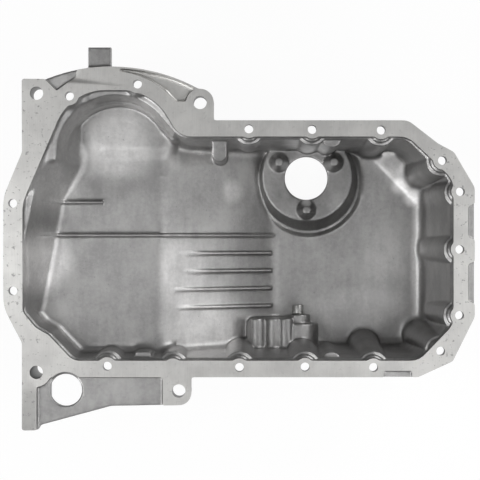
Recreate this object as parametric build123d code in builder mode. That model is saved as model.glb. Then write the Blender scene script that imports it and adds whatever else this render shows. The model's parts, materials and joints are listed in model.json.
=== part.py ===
from build123d import *
import math
import os

# A cast aluminium engine oil pan, lying as it is seen from above.
# The gasket face is the plane Z = 0, the sump hangs below it, and X runs along the engine.
# Every size is in millimetres.

# Walls and drafts
wall = 5.0
draft = 2.5
flange_thickness = 11.0

# Mouth of the pan: corners of the gasket face's inner edge and the radius at each
mouth_corners = [
    (-195.9, -64.8), (-195.9, 33.3), (-152.3, 135.0), (-79.0, 135.0), (-54.8, 93.2), (151.2, 93.2),
    (192.3, 54.0), (192.3, -76.3), (160.9, -108.7), (-150.3, -108.7), (-172.4, -85.5), (-183.6, -79.2),
]
mouth_radii = [11, 36, 47, 48, 19, 20, 20, 18, 18, 14, 5, 11]
lip_width = 2.0
lip_depth = 6.0

# Depths of the inside floors below the gasket face
sump_depth = 120.0
gallery_depth = 50.0
shelf_depth = 47.0
ramp_top_x = -72.0
ramp_foot_x = 34.0
ramp_top_round = 14.0
ramp_foot_round = 22.0
far_corner_round = 1.0
floor_round = 8.0
outer_floor_round = 8.0

# Shelf under the lobe: its round floor, the corners that run from it to the back wall, the ledge
# in its walls, their spread above it, where it ends and the rounds of its corner and edge
shelf_centre = (-112.6, 78.4)
shelf_radius = 45.5
shelf_run_out = [(-77.7, 107.6), (-63.0, 90.0), (-30.0, 90.0)]
shelf_ledge_depth = 25.0
shelf_ledge_width = 3.3
shelf_spread = 12.5
shelf_front_y = 71.0
shelf_end_x = -57.0
shelf_corner = 20.0
shelf_round = 16.0

# Leaning walls: a point of the foot, its depth, the foot's heading and the lean
shelf_wall = ((-147.6, 71.0), shelf_depth, 90.0, 35.0)
middle_wall = ((-153.7, 56.0), gallery_depth, 60.8, 31.0)
end_wall = ((-175.3, -16.0), gallery_depth, 79.0, 27.0)
right_wall = ((178.0, 0.0), sump_depth, -90.0, 6.6)
corner_wall = ((155.5, 50.3), sump_depth, -46.1, 52.0)

# Outline of the gasket face: its straight sides, its corners and the radius at each
face_back_y = 107.8
face_front_y = -123.5
face_right_x = 211.3
face_left_x = -213.1
face_corners = [
    (151.2, face_back_y), (178.2, 86.9), (192.6, 79.2), (face_right_x, 47.3), (face_right_x, -69.3),
    (191.5, -109.2), (160.2, face_front_y), (-43.9, face_front_y), (-43.9, -148.5), (-116.3, -149.9),
    (-179.7, -167.0), (-182.1, -171.3), (-196.4, -171.5), (-196.2, -92.7), (face_left_x, -60.3),
    (face_left_x, 38.7), (-196.2, 79.2), (-196.6, 145.2), (-176.0, 145.0), (-138.8, face_back_y),
]
face_radii = [14, 9, 7, 7, 7, 4, 7, 2, 11, 4, 3, 1, 2, 8, 36, 36, 9, 2, 2, 1]

# Round lobe of the mouth and the rim outside it, which carries a tab and has two hollows
lobe_centre = (-116.1, 76.5)
lobe_face_radius = 75.6
rim_centre = (-116.3, -9.7)
rim_radius = 165.9
rim_start_x = -175.0
rim_end_x = -37.0
rim_lip = 1.4
hollow_drop = 5.0
hollow_start_x = -108.5
hollow_end_y = 124.5
slope_start_x = -146.0
slope_drop = 4.0
tab_left_x = -136.8
tab_right_x = -116.1
tab_top_y = 173.7
tab_drop = 2.5

# Lower plate beside the two big screws, with a large hole, and the deep bar under its left strip
plate_drop = 4.0
plate_strip_x = -183.2
plate_pad_x = -69.5
bar_depth = 26.0
bar_left_x = -192.0
bar_right_x = -172.2
bar_front_y = -165.0
big_hole = (-157.2, -135.5)
big_hole_radius = 14.5
big_hole_land = 2.4

# Flange screw holes: place, heading of the inside, and how far the dent under each reaches in
screw_radius = 4.0
screw_boss_radius = 8.2
screw_boss_depth = 3.0
screw_neck_radius = 10.8
screw_seat_radius = 7.5
dent_top_radius = 14.0
dent_foot_radius = 16.0
screws = [
    ((8.0, 100.0), -90, 16), ((65.0, 99.5), -90, 17), ((127.1, 98.9), -90, 19),
    ((182.2, 71.6), -140, 25), ((198.4, 43.5), 180, 23), ((197.9, -8.5), 180, 25),
    ((197.6, -67.9), 180, 21), ((180.7, -100.0), 130, 26),
    ((120.3, -114.7), 90, 29), ((58.6, -114.3), 90, 24), ((-0.5, -114.7), 90, 23),
    ((-119.5, -113.6), 90, 16),
]
lobe_screws = [(-153.6, 129.6), (-92.3, 140.4)]
side_screws = [(-204.7, 33.0), (-204.5, -45.8)]
blind_dent = ((-60.3, -114.7), 90, 18)

# Big screw holes at the corners: place, boss radius and boss length below the gasket face
big_screw_radius = 6.0
big_screws = [
    ((-183.2, 132.1), 13.0, 28.0), ((-36.0, 123.8), 12.4, 20.0),
    ((-183.4, -119.1), 13.0, 56.0), ((-55.1, -135.9), 11.2, 20.0),
]

# Round columns cast against the walls, with flat tops just under the gasket face, a square one
# (its ends, its edge and its corner round), and a round thumb with a sloping top
columns = [((82.7, -111.5), 10.0), ((83.0, 93.5), 9.5)]
column_depth = 8.0
block_lug = ((-95.4, -80.6), -100.9, 3.5)
thumb_centre = (-18.8, 78.6)
thumb_radius = 6.9
thumb_depth = 20.0
thumb_slope = 28.0

# Raised pad for the oil level sensor, with its opening and three blind screw holes
pad_foot_centre = (66.5, 56.7)
pad_foot_radius = 49.9
pad_top_centre = (64.7, 61.8)
pad_top_radius = 43.4
pad_height = 20.0
pad_flare = 4.0
pad_flare_angle = 45.0
sensor_centre = (63.9, 59.5)
sensor_radius = 20.6
sensor_screw_circle = 30.5
sensor_screw_radius = 2.5
sensor_screw_depth = 12.0
dome_foot_radius = 9.6
dome_top_radius = 3.6
dome_height = 11.0
sensor_screw_first_angle = 30.0

# Drain: a pocket for the plug's head, its threaded boss and the plug
drain_x = 56.0
drain_height = 16.0
drain_depth = sump_depth - drain_height
drain_pocket_radius = 15.0
drain_pocket_end_y = -85.2
drain_boss_radius = 12.0
drain_boss_end_y = -72.0
plug_radius = 7.0
plug_bore_radius = 7.05
plug_length = 24.0
plug_tip_radius = 5.6
plug_tip_length = 8.5
plug_tip_chamfer = 1.0
plug_flange_radius = 11.0
plug_flange_thickness = 2.0
plug_hex_width = 19.0
plug_hex_height = 8.0
washer_radius = 11.0
washer_bore_radius = 7.2
washer_thickness = 1.5

# Lobed block beside the drain
block_left_x = 6.6
block_right_x = 48.0
block_end_y = -75.0
block_depth = 88.0
block_corner = 7.0
block_lobes = [16.2, 31.8, 43.6]
block_lobe_radius = 7.2

# Low ribs on the floor and tapering ribs down the ramp
rib_width = 2.6
rib_height = 3.2
rib_pitch = 17.0
long_rib_y = 4.4
short_rib_y = 35.2
short_rib_end_x = -127.7
rib_top_depth = 17.0
ramp_rib_starts = [-57.0, -55.0, -70.0, -62.0]
ramp_rib_height = 9.5
ramp_rib_end_x = 31.0

# Notches along the outer edge of the flange
notch_drop = 3.5
notch_depth = 5.8
side_notches = [(33.0, 0.0), (-19.0, -57.5)]
front_notch = (129.4, 155.0)

# Gussets under the flange's left end, and webs that tie the big screws' bosses to the walls
gusset_thickness = 6.0
gusset_root_x = -168.0
gusset_tip_x = -211.0
gussets_y = [22.0, -32.0]
web_thickness = 6.0
webs = [
    ((-183.2, 132.1), (-150.0, 100.0), 24.0), ((-183.4, -119.1), (-150.0, -98.0), 42.0),
    ((-55.1, -135.9), (-55.1, -105.0), 18.0), ((-36.0, 123.8), (-52.0, 95.0), 18.0),
]

reach = 500.0


def is_floor(face):
    """Says whether a face of the oil space is one of its floors, which look down."""
    return face.normal_at().Z < -0.5


def screw_dent(place, heading, reach_in, grow):
    """The leaning round dent that leaves room for a screw's head, shrunk by grow."""
    inward = Vector(1, 0, 0).rotate(Axis.Z, heading)
    foot = Vector(*place) + inward * (reach_in - dent_foot_radius)
    with BuildPart() as dent:
        with BuildSketch(Plane.XY.offset(wall - grow - flange_thickness)):
            with Locations(place):
                Circle(dent_top_radius - grow)
        with BuildSketch(Plane.XY.offset(-sump_depth - 2 * wall)):
            with Locations((foot.X, foot.Y)):
                Circle(dent_foot_radius - grow)
        loft()
    return dent.part


def sensor_pad(grow):
    """The raised round seat of the level sensor, shrunk by grow."""
    with BuildPart() as pad:
        with BuildSketch(Plane.XY.offset(-sump_depth - grow)):
            with Locations(pad_foot_centre):
                Circle(pad_foot_radius - grow)
        with BuildSketch(Plane.XY.offset(pad_height - sump_depth - grow)):
            with Locations(pad_top_centre):
                Circle(pad_top_radius - grow)
        loft()
        if not grow:
            with BuildSketch(Plane.XY.offset(-sump_depth)):
                with Locations(pad_foot_centre):
                    Circle(pad_foot_radius + pad_flare)
            extrude(amount=pad_flare, taper=pad_flare_angle)
    return pad.part


def leaning_wall(foot, depth, heading, lean, grow):
    """The plane of a wall that leans out of the pan, moved out by grow. It looks into the pan."""
    foot_angle = math.radians(heading)
    lean_angle = math.radians(lean)
    into_pan = Vector(
        math.cos(lean_angle) * math.sin(foot_angle),
        -math.cos(lean_angle) * math.cos(foot_angle),
        math.sin(lean_angle))
    return Plane(origin=Vector(*foot, -depth) - into_pan * grow, z_dir=into_pan)


def over_shelf(grow):
    """The room over the shelf, grown by grow: a bowl cut by its leaning left wall, and the depth below."""
    front_y = shelf_centre[1] - shelf_radius
    with BuildPart() as bowl:
        with BuildSketch(Plane.XY.offset(-shelf_depth - grow)) as outline:
            with Locations(shelf_centre):
                Circle(shelf_radius)
                Rectangle(2 * shelf_radius, shelf_radius, align=(Align.CENTER, Align.MAX))
            Polygon(
                shelf_centre, (shelf_centre[0], front_y), (shelf_run_out[-1][0], front_y),
                *reversed(shelf_run_out), align=None)
            if grow:
                offset(amount=grow)
        extrude(amount=shelf_depth - shelf_ledge_depth, taper=-draft)
        extrude(outline.sketch, amount=-sump_depth)
        with BuildSketch(Plane.XY.offset(-shelf_ledge_depth - grow)):
            add(outline.sketch)
            offset(amount=shelf_ledge_width)
        extrude(amount=shelf_ledge_depth + 2 * grow, taper=-shelf_spread)
        split(bisect_by=leaning_wall(*shelf_wall, grow), keep=Keep.TOP)
    return bowl.part


def shelf_block(grow):
    """What fills the lobe around and under its bowl, shrunk by grow."""
    bowl = over_shelf(grow)
    with BuildPart() as shelf:
        with BuildSketch(Plane.XY.offset(-shelf_depth - grow)):
            with Locations((shelf_end_x - grow, shelf_front_y + grow)):
                Rectangle(reach, reach, align=(Align.MAX, Align.MIN))
        extrude(amount=-sump_depth)
        corner = shelf.edges().filter_by(Axis.Z).group_by(Axis.Y)[0].sort_by(Axis.X)[-1]
        fillet(corner, radius=shelf_corner - grow)
        fillet(shelf.faces().sort_by(Axis.Z)[-1].edges(), radius=shelf_round - grow)
    with BuildPart() as block:
        with BuildSketch(Plane.XY.offset(grow)):
            with Locations((shelf_end_x - grow, shelf_front_y + grow)):
                Rectangle(reach, reach, align=(Align.MAX, Align.MIN))
        extrude(amount=-sump_depth)
        add(bowl, mode=Mode.SUBTRACT)
        add(shelf.part)
    return block.part


def beyond_corner_wall(grow):
    """What lies beyond the leaning wall in the sump's back right corner, shrunk by grow."""
    with BuildPart() as beyond:
        with BuildSketch(Plane.XY.offset(grow)):
            Rectangle(reach, reach, align=(Align.MIN, Align.MIN))
        extrude(amount=-sump_depth - 2 * grow)
        split(bisect_by=leaning_wall(*corner_wall, grow), keep=Keep.BOTTOM)
    return beyond.part


def beyond_middle_wall(grow):
    """What lies beyond the leaning wall between the shelf and the end wall, shrunk by grow."""
    with BuildPart() as beyond:
        with BuildSketch(Plane.XY.offset(grow)):
            with Locations((ramp_top_x, shelf_front_y + grow)):
                Rectangle(reach, reach, align=(Align.MAX, Align.MAX))
        extrude(amount=-sump_depth)
        split(bisect_by=leaning_wall(*middle_wall, grow), keep=Keep.BOTTOM)
    return beyond.part


def inside_form(grow, edge_round):
    """The oil space of the pan, grown by grow on every side."""
    dents = [screw_dent(*screw, grow) for screw in screws + [blind_dent]]
    fillers = [shelf_block(grow), beyond_middle_wall(grow), beyond_corner_wall(grow), sensor_pad(grow)]
    with BuildPart() as form:
        with BuildSketch():
            with BuildLine():
                FilletPolyline(*mouth_corners, radius=mouth_radii, close=True)
            make_face()
            offset(amount=grow - lip_width)
        extrude(amount=-(sump_depth + grow), taper=draft)
        with BuildSketch(Plane.XZ):
            with BuildLine():
                FilletPolyline(
                    (-reach, reach), (-reach, -gallery_depth), (ramp_top_x, -gallery_depth),
                    (ramp_foot_x, -sump_depth), (reach, -sump_depth), (reach, reach),
                    radius=[far_corner_round, far_corner_round, ramp_top_round, ramp_foot_round,
                            far_corner_round, far_corner_round], close=True)
            make_face()
            if grow:
                offset(amount=grow)
        extrude(amount=reach, both=True, mode=Mode.INTERSECT)
        for sloping_wall in (end_wall, right_wall):
            split(bisect_by=leaning_wall(*sloping_wall, grow), keep=Keep.TOP)
        floor_edges = form.faces().filter_by(is_floor).edges()
        fillet([edge for edge in floor_edges if floor_edges.count(edge) == 1], radius=edge_round)
        add(fillers + dents, mode=Mode.SUBTRACT)
    return form.part


def end_wall_x(y, depth):
    """Where the left end wall is along X, at a place along Y and at a depth."""
    foot, foot_depth, heading, lean = end_wall
    along_foot = (y - foot[1]) / math.tan(math.radians(heading))
    outward = (foot_depth - depth) * math.tan(math.radians(lean)) / math.sin(math.radians(heading))
    return foot[0] + along_foot - outward


def long_rib(y, end_x):
    """A low rib from high on the left end wall, down it and along the floor to end_x."""
    start_x = end_wall_x(y, rib_top_depth)
    foot_x = end_wall_x(y, gallery_depth) + rib_height / 2
    with BuildPart() as rib:
        with BuildSketch(Plane.XZ.offset(-y)):
            with BuildLine():
                FilletPolyline(
                    (start_x, -rib_top_depth), (foot_x, rib_height - gallery_depth),
                    (ramp_top_x + rib_height / 2, rib_height - gallery_depth),
                    (ramp_foot_x, rib_height / 2 - sump_depth), (ramp_foot_x, -reach), (start_x, -reach),
                    radius=[far_corner_round, far_corner_round, ramp_top_round, far_corner_round,
                            far_corner_round, far_corner_round], close=True)
            make_face()
        extrude(amount=rib_width / 2, both=True)
        with BuildSketch():
            with Locations((start_x, y)):
                Rectangle(end_x - start_x, 2 * rib_width, align=(Align.MIN, Align.CENTER))
        extrude(amount=-reach, both=True, mode=Mode.INTERSECT)
    return rib.part


def ramp_rib(y, start_x):
    """A fin on the ramp, flush with it at start_x and at full height by the ramp's foot."""
    ramp_slope = (sump_depth - gallery_depth) / (ramp_foot_x - ramp_top_x)
    start_depth = gallery_depth + (start_x - ramp_top_x) * ramp_slope
    end_depth = gallery_depth + (ramp_rib_end_x - ramp_top_x) * ramp_slope - ramp_rib_height
    with BuildPart() as rib:
        with BuildSketch(Plane.XZ.offset(-y)):
            Polygon(
                (start_x, -start_depth), (ramp_rib_end_x, -end_depth),
                (ramp_rib_end_x, -sump_depth - wall), (start_x, -sump_depth - wall), align=None)
        extrude(amount=rib_width / 2, both=True)
    return rib.part


def level_block():
    """The block beside the drain, whose top is three lobes that run into the front wall."""
    with BuildPart() as block:
        with BuildSketch(Plane.XY.offset(-block_depth)):
            with Locations((block_left_x, block_end_y)):
                Rectangle(block_right_x - block_left_x, reach, align=(Align.MIN, Align.MAX))
        extrude(amount=-sump_depth)
        fillet(block.edges().filter_by(Axis.Z).group_by(Axis.Y)[-1].sort_by(Axis.X)[0], radius=block_corner)
        with BuildSketch(Plane.XZ.offset(-block_end_y)):
            with Locations(*[(x, -block_depth) for x in block_lobes]):
                Circle(block_lobe_radius)
        extrude(amount=reach)
    return block.part


def drain_boss():
    """The stepped round boss of the drain, as it stands into the oil space."""
    with BuildPart() as boss:
        with BuildSketch(Plane.XZ.offset(-drain_boss_end_y)):
            with Locations((drain_x, -drain_depth)):
                Circle(drain_boss_radius)
        extrude(amount=reach)
        with BuildSketch(Plane.XZ.offset(-drain_pocket_end_y - wall)):
            with Locations((drain_x, -drain_depth)):
                Circle(drain_pocket_radius + wall)
        extrude(amount=reach)
    return boss.part


def sloping_thumb():
    """The round thumb against the back wall, whose top slopes away from the wall."""
    slope_angle = math.radians(thumb_slope)
    top = Plane(
        origin=(*thumb_centre, -thumb_depth), z_dir=(0, -math.sin(slope_angle), math.cos(slope_angle)))
    with BuildPart() as thumb:
        with BuildSketch():
            with Locations(thumb_centre):
                Circle(thumb_radius)
                Rectangle(2 * thumb_radius, 3 * thumb_radius, align=(Align.CENTER, Align.MIN))
        extrude(amount=-sump_depth)
        split(bisect_by=top, keep=Keep.BOTTOM)
    return thumb.part


def standing_columns():
    """The round and square columns against the walls and the three sensor screw domes."""
    (lug_left_x, lug_right_x), lug_edge_y, lug_corner = block_lug
    with BuildPart() as standing:
        with BuildSketch(Plane.XY.offset(-column_depth)):
            with Locations(((lug_left_x + lug_right_x) / 2, lug_edge_y)):
                RectangleRounded(
                    lug_right_x - lug_left_x, 2 * wall, lug_corner, align=(Align.CENTER, Align.MAX))
        extrude(amount=-reach)
        for place, radius in columns:
            with BuildSketch(Plane.XY.offset(-column_depth)):
                with Locations(place):
                    Circle(radius)
            extrude(amount=-reach, taper=-draft / 2)
        with BuildSketch(Plane.XY.offset(pad_height - sump_depth)) as dome_feet:
            with Locations(sensor_centre):
                with PolarLocations(sensor_screw_circle, 3, start_angle=sensor_screw_first_angle):
                    Circle(dome_foot_radius)
        dome_taper = math.degrees(math.atan2(dome_foot_radius - dome_top_radius, dome_height))
        extrude(amount=dome_height, taper=dome_taper)
    return standing.part


def corner_slope():
    """What is taken off the rim between the corner boss and the lobe, as a slope that runs out."""
    with BuildPart() as slope:
        with BuildSketch(Plane.XZ.offset(-lobe_centre[1])):
            Polygon(
                (slope_start_x, 0), (slope_start_x, reach), (rim_start_x - wall, reach),
                (rim_start_x - wall, -slope_drop), align=None)
        extrude(amount=-reach)
        with BuildSketch(Plane.XY.offset(-reach)):
            with Locations(lobe_centre):
                Circle(lobe_face_radius)
            Polygon(*face_corners[-6:], (0, 0), align=None)
        extrude(amount=2 * reach, mode=Mode.SUBTRACT)
    return slope.part


ribs = [long_rib(long_rib_y, ramp_foot_x), long_rib(short_rib_y, short_rib_end_x)]
ribs += [ramp_rib(long_rib_y - rib_pitch * (row + 1), x) for row, x in enumerate(ramp_rib_starts)]

# The oil space: what is taken out of the casting from above
core_form = inside_form(0, floor_round)
inner_bosses = [level_block(), drain_boss(), standing_columns(), sloping_thumb()]
boss_places = [place for place, *_ in screws + [blind_dent]] + lobe_screws + side_screws
with BuildPart() as core:
    add(core_form)
    add(inner_bosses, mode=Mode.SUBTRACT)
    add(ribs, mode=Mode.SUBTRACT)
    with BuildSketch():
        with BuildLine():
            FilletPolyline(*mouth_corners, radius=mouth_radii, close=True)
        make_face()
    extrude(amount=-lip_depth)
    for boss_radius, top_depth in [(screw_neck_radius, screw_boss_depth), (screw_boss_radius, 0)]:
        with BuildSketch(Plane.XY.offset(-top_depth)):
            with Locations(*boss_places):
                Circle(boss_radius)
        extrude(amount=top_depth - flange_thickness, mode=Mode.SUBTRACT)

outer_form = inside_form(wall, outer_floor_round)
slope_cut = corner_slope()

# The casting
with BuildPart() as pan_casting:
    # Gasket flange with its lobe and its corner bosses
    with BuildSketch():
        with BuildLine():
            FilletPolyline(*face_corners, radius=face_radii, close=True)
        make_face()
        with Locations(lobe_centre):
            Circle(lobe_face_radius)
        with Locations(big_screws[1][0]):
            Circle(big_screws[1][1])
            Rectangle(2 * big_screws[1][1], big_screws[1][1] + wall, align=(Align.CENTER, Align.MAX))
    extrude(amount=-flange_thickness)
    # Rim around the lobe, with its tab, its long hollow and the slope beside the corner boss
    with BuildSketch():
        with Locations(rim_centre):
            Circle(rim_radius)
        with Locations((rim_start_x, lobe_centre[1])):
            Rectangle(rim_end_x - rim_start_x, reach, align=(Align.MIN, Align.MIN), mode=Mode.INTERSECT)
    extrude(amount=-flange_thickness)
    with BuildSketch(Plane.XY.offset(-tab_drop)):
        with Locations((tab_left_x, lobe_centre[1])):
            Rectangle(tab_right_x - tab_left_x, tab_top_y - lobe_centre[1], align=(Align.MIN, Align.MIN))
    extrude(amount=tab_drop - flange_thickness)
    with BuildSketch():
        with Locations(rim_centre):
            Circle(rim_radius - rim_lip)
        with Locations((hollow_start_x, hollow_end_y)):
            Rectangle(rim_end_x - hollow_start_x, reach, align=(Align.MIN, Align.MIN), mode=Mode.INTERSECT)
        with Locations(lobe_centre):
            Circle(lobe_face_radius, mode=Mode.SUBTRACT)
        with Locations(big_screws[1][0]):
            Circle(big_screws[1][1], mode=Mode.SUBTRACT)
            Rectangle(2 * big_screws[1][1], reach, align=(Align.CENTER, Align.MAX), mode=Mode.SUBTRACT)
    extrude(amount=-hollow_drop, mode=Mode.SUBTRACT)
    add(slope_cut, mode=Mode.SUBTRACT)
    # Walls and floors
    add(outer_form)
    # Bosses of the big screws, webs and gussets
    for place, radius, length in big_screws:
        with BuildSketch():
            with Locations(place):
                Circle(radius)
        extrude(amount=-length)
    for start, end, depth in webs:
        run = Vector(*end) - Vector(*start)
        with BuildSketch(Plane.XY.offset(-flange_thickness / 2)):
            with Locations(Vector(*start) + run * 0.5):
                Rectangle(run.length, web_thickness, rotation=math.degrees(math.atan2(run.Y, run.X)))
        extrude(amount=flange_thickness / 2 - depth)
    for y in gussets_y:
        with BuildSketch(Plane.XZ.offset(-y)):
            Polygon(
                (gusset_tip_x, -flange_thickness / 2), (gusset_tip_x, -flange_thickness),
                (gusset_root_x, -gallery_depth), (gusset_root_x, -flange_thickness / 2), align=None)
        extrude(amount=gusset_thickness / 2, both=True)
    # Room for the heads of the lobe's screws
    with BuildSketch(Plane.XY.offset(-flange_thickness)):
        with Locations(*lobe_screws):
            Circle(screw_seat_radius)
    extrude(amount=-reach, mode=Mode.SUBTRACT)
    # Oil space
    add(core.part, mode=Mode.SUBTRACT)
    # Lowered plate beside the corner screws
    with BuildSketch():
        with Locations((plate_strip_x, face_front_y)):
            Rectangle(plate_pad_x - plate_strip_x, reach, align=(Align.MIN, Align.MAX))
        with Locations(big_hole):
            Circle(big_hole_radius + big_hole_land)
        with Locations(big_screws[2][0]):
            Circle(big_screws[2][1], mode=Mode.SUBTRACT)
    extrude(amount=-plate_drop, mode=Mode.SUBTRACT)
    with BuildSketch():
        with Locations(big_hole):
            Circle(big_hole_radius)
    extrude(amount=-reach, mode=Mode.SUBTRACT)
    with BuildSketch(Plane.XY.offset(-plate_drop)):
        with Locations((bar_right_x, bar_front_y)):
            Rectangle(
                bar_right_x - bar_left_x, big_screws[2][0][1] - bar_front_y, align=(Align.MAX, Align.MIN))
    extrude(amount=plate_drop - bar_depth)
    # Notches in the flange's edge
    with BuildSketch():
        for top_y, low_y in side_notches:
            Polygon(
                (face_right_x, top_y), (face_right_x - notch_depth, top_y - notch_depth / 2),
                (face_right_x - notch_depth, low_y + notch_depth / 2), (face_right_x, low_y), align=None)
        with Locations((front_notch[0], face_front_y)):
            Rectangle(front_notch[1] - front_notch[0], notch_depth, align=(Align.MIN, Align.MIN))
    extrude(amount=-notch_drop, mode=Mode.SUBTRACT)
    # Screw holes through the flange and the corner bosses
    with BuildSketch():
        with Locations(*[place for place, *_ in screws], *lobe_screws, *side_screws):
            Circle(screw_radius)
        with Locations(*[place for place, *_ in big_screws]):
            Circle(big_screw_radius)
    extrude(amount=-reach, mode=Mode.SUBTRACT)
    # Level sensor opening and its blind screw holes, from below
    with BuildSketch(Plane.XY.offset(pad_height - sump_depth - wall)):
        with Locations(sensor_centre):
            with PolarLocations(sensor_screw_circle, 3, start_angle=sensor_screw_first_angle):
                Circle(sensor_screw_radius)
    extrude(amount=sensor_screw_depth, mode=Mode.SUBTRACT)
    with BuildSketch(Plane.XY.offset(-sump_depth - wall)):
        with Locations(sensor_centre):
            Circle(sensor_radius)
    extrude(amount=pad_height + 2 * wall, mode=Mode.SUBTRACT)
    # Drain pocket and its threaded bore, from the front
    with BuildSketch(Plane.XZ.offset(-drain_pocket_end_y)):
        with Locations((drain_x, -drain_depth)):
            Circle(drain_pocket_radius)
    extrude(amount=reach, mode=Mode.SUBTRACT)
    with BuildSketch(Plane.XZ.offset(-drain_boss_end_y)):
        with Locations((drain_x, -drain_depth)):
            Circle(plug_bore_radius)
    extrude(amount=reach, mode=Mode.SUBTRACT)

# Sealing ring under the drain plug's head
with BuildPart() as drain_plug_washer:
    with BuildSketch(Plane.XZ.offset(-drain_pocket_end_y)):
        with Locations((drain_x, -drain_depth)):
            Circle(washer_radius)
            Circle(washer_bore_radius, mode=Mode.SUBTRACT)
    extrude(amount=washer_thickness)

# Drain plug: hexagon head, flange, threaded shank and a smaller tip
plug_seat = washer_thickness - drain_pocket_end_y
with BuildPart() as drain_plug:
    with BuildSketch(Plane.XZ.offset(plug_seat)):
        with Locations((drain_x, -drain_depth)):
            Circle(plug_flange_radius)
    extrude(amount=plug_flange_thickness)
    with BuildSketch(Plane.XZ.offset(plug_seat + plug_flange_thickness)):
        with Locations((drain_x, -drain_depth)):
            RegularPolygon(plug_hex_width / 2, 6, major_radius=False)
    extrude(amount=plug_hex_height)
    with BuildSketch(Plane.XZ.offset(plug_seat)):
        with Locations((drain_x, -drain_depth)):
            Circle(plug_radius)
    extrude(amount=plug_tip_length - plug_length)
    with BuildSketch(Plane.XZ.offset(plug_seat)):
        with Locations((drain_x, -drain_depth)):
            Circle(plug_tip_radius)
    extrude(amount=-plug_length)
    chamfer(drain_plug.faces().sort_by(Axis.Y)[-1].edges(), length=plug_tip_chamfer)

pan_casting.part.label = "pan_casting"
drain_plug.part.label = "drain_plug"
drain_plug_washer.part.label = "drain_plug_washer"

os.makedirs("parts", exist_ok=True)
export_step(pan_casting.part, "parts/pan_casting.step")
export_step(drain_plug.part, "parts/drain_plug.step")
export_step(drain_plug_washer.part, "parts/drain_plug_washer.step")
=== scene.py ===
"""Dresses the cast aluminium engine oil pan: its casting, its drain plug and its sealing ring.

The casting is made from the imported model's own mesh: its edges get the soft rounds of a casting,
its rim is faced flat again and its holes are drilled again. The drain plug is built new, with its
thread. The sealing ring keeps its CAD shape.
"""

import json
import logging
import math
from collections.abc import Callable, Iterator
from contextlib import contextmanager
from dataclasses import dataclass, field
from enum import Enum
from typing import Any

import bmesh
import bpy
import numpy as np
from mathutils import Euler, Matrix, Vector

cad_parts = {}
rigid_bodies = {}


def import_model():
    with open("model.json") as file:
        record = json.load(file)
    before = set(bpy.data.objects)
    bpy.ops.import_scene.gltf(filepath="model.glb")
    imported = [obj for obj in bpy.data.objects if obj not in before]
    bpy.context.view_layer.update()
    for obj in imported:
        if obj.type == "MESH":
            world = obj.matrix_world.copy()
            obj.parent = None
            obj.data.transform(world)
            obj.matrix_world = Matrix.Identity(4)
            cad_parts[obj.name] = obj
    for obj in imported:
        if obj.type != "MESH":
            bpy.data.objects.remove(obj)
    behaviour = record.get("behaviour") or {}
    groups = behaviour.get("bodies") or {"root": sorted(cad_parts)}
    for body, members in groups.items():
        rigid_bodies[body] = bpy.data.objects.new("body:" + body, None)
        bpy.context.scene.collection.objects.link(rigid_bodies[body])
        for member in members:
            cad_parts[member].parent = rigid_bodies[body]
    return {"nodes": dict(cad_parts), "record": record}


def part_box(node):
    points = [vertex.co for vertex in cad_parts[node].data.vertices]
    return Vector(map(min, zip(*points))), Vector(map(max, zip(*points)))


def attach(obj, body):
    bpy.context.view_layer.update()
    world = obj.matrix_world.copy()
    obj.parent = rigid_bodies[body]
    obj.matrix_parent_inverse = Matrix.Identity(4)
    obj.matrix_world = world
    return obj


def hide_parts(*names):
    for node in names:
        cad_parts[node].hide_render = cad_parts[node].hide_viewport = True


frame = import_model()

MM = 0.001
RING_NODE = "drain_plug_washer"
WHITE = (1.0, 1.0, 1.0, 1.0)
log = logging.getLogger("oil_pan")

Colour = tuple[float, float, float]
Range = tuple[float, float]


# Shader nodes


class Shade:
    """A number that a shader node gives, for use in ordinary sums and products."""

    def __init__(self, sheet: "NodeSheet", socket: bpy.types.NodeSocket) -> None:
        """Keeps the sheet that the node is on and the socket that gives the number."""
        self.sheet = sheet
        self.socket = socket

    def _math(self, operation: str, *values: "Shade | float", clamp: bool = False) -> "Shade":
        """Adds one Math node.

        Args:
            operation: the Math node's operation.
            values: what goes into it, in order.
            clamp: whether the result is kept between 0 and 1.

        Returns:
            The node's result.
        """
        settings = {"operation": operation, "use_clamp": clamp}
        return self.sheet.value("ShaderNodeMath", settings, dict(enumerate(values)))

    def __add__(self, other: "Shade | float") -> "Shade":
        """Gives the sum."""
        return self._math("ADD", self, other)

    def __radd__(self, other: float) -> "Shade":
        """Gives the sum with a plain number in front."""
        return self._math("ADD", other, self)

    def __sub__(self, other: "Shade | float") -> "Shade":
        """Gives the difference."""
        return self._math("SUBTRACT", self, other)

    def __rsub__(self, other: float) -> "Shade":
        """Gives the difference from a plain number."""
        return self._math("SUBTRACT", other, self)

    def __mul__(self, other: "Shade | float") -> "Shade":
        """Gives the product."""
        return self._math("MULTIPLY", self, other)

    def __rmul__(self, other: float) -> "Shade":
        """Gives the product with a plain number in front."""
        return self._math("MULTIPLY", other, self)

    def __truediv__(self, other: "Shade | float") -> "Shade":
        """Gives the quotient."""
        return self._math("DIVIDE", self, other)

    def __rtruediv__(self, other: float) -> "Shade":
        """Gives a plain number divided by this."""
        return self._math("DIVIDE", other, self)

    def __pow__(self, other: "Shade | float") -> "Shade":
        """Gives the power."""
        return self._math("POWER", self, other)

    def __rpow__(self, other: float) -> "Shade":
        """Gives a plain number raised to this."""
        return self._math("POWER", other, self)

    def above(self, low: float, high: float) -> "Shade":
        """Rises smoothly from 0 at low to 1 at high.

        Args:
            low: the value that gives 0.
            high: the value that gives 1. It may be less than low.

        Returns:
            The eased step.
        """
        settings = {"interpolation_type": "SMOOTHSTEP"}
        return self.sheet.value("ShaderNodeMapRange", settings, {"Value": self, 1: low, 2: high})

    def clamped(self) -> "Shade":
        """Keeps the number between 0 and 1."""
        return self._math("ADD", self, 0.0, clamp=True)


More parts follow.
